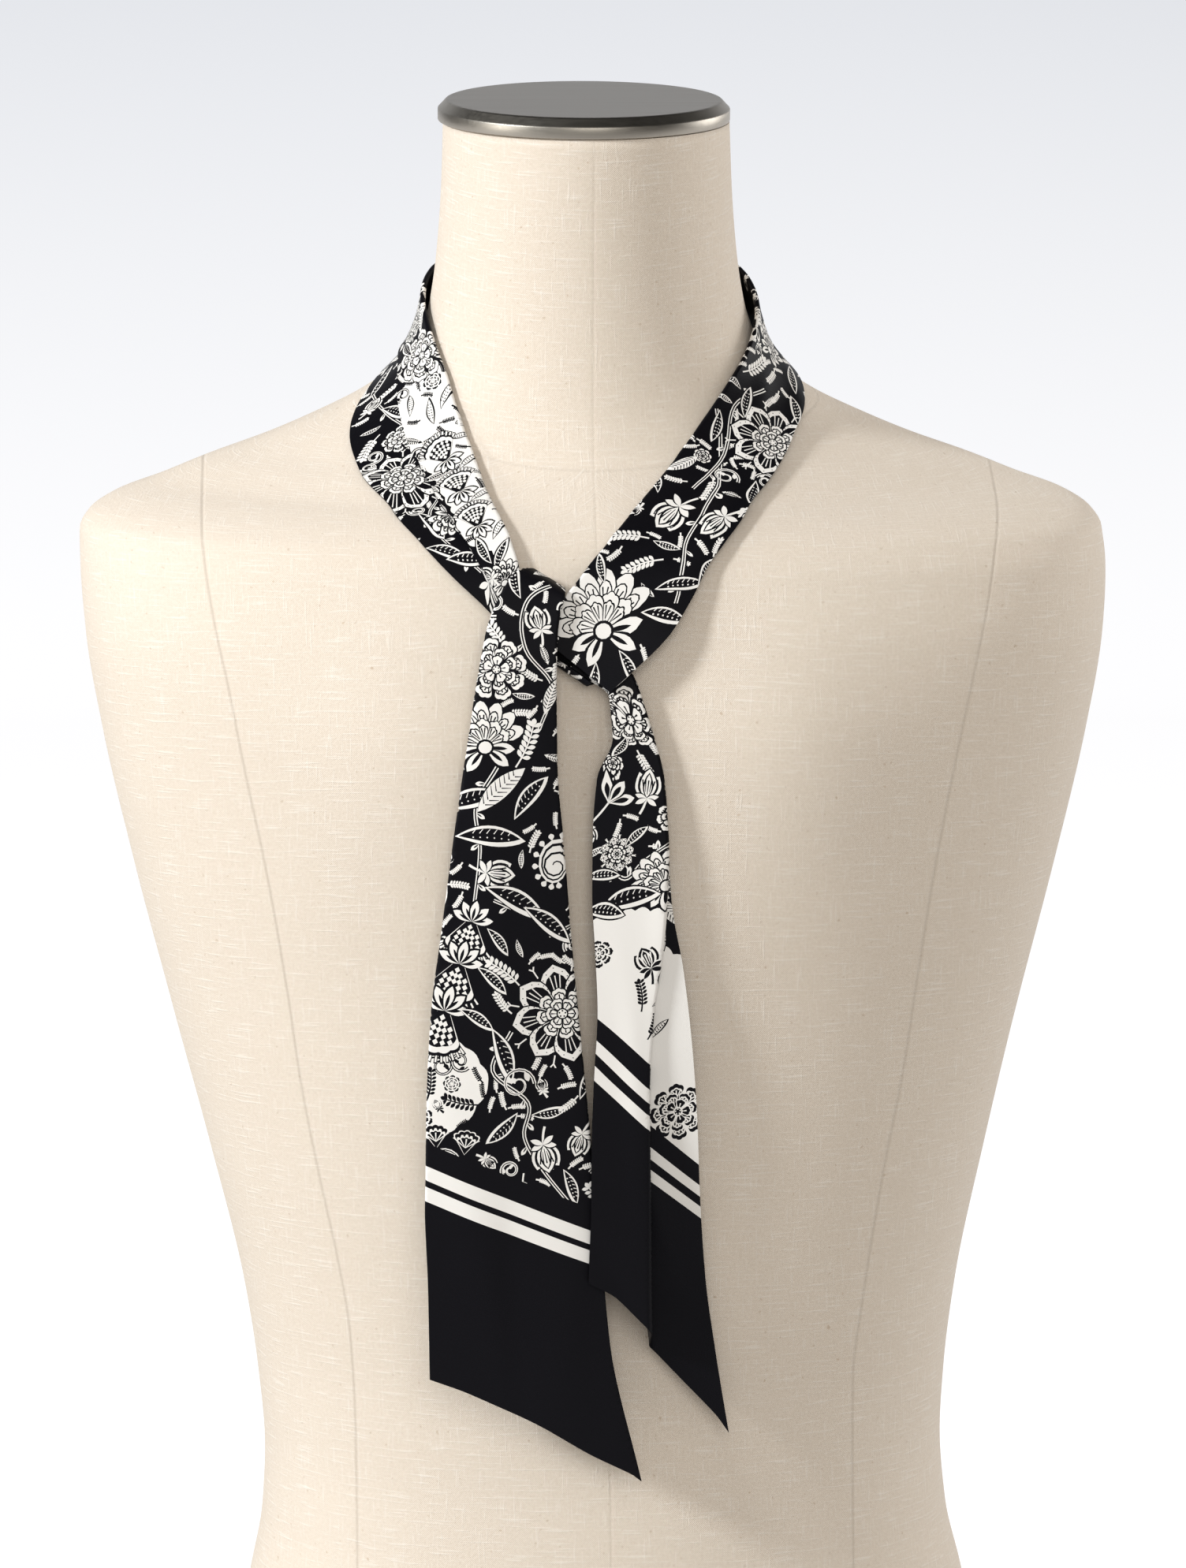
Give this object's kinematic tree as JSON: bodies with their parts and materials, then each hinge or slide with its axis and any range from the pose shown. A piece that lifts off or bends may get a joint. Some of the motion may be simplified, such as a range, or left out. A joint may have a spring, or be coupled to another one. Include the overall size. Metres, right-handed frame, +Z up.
{
  "type": "skinny scarf tied on a limbless dress form",
  "caption": "Narrow scarf tied in a half knot, its slanted ends hanging in front of a limbless linen dress form with a flat base.",
  "frame": {"origin": "centre of the bounding box in the plane of the flat base", "axes": "+Z up through the neck, -Y to the front where the scarf is tied, +X to the viewer's right from the front"},
  "size_m": [0.4319, 0.2522, 0.7477],
  "materials": {
    "linen_cover": "natural plain-woven linen, matte",
    "cap_steel": "dark brushed steel",
    "scarf_twill": "black and off-white printed twill with a soft sheen"
  },
  "bodies": {
    "root": {"form_body": "linen_cover", "neck_cap": "cap_steel", "neck_band_left": "scarf_twill", "neck_band_back": "scarf_twill", "neck_band_right": "scarf_twill", "knot_wrap": "scarf_twill", "tail_left": "scarf_twill", "tail_right": "scarf_twill"}
  },
  "joints": []
}
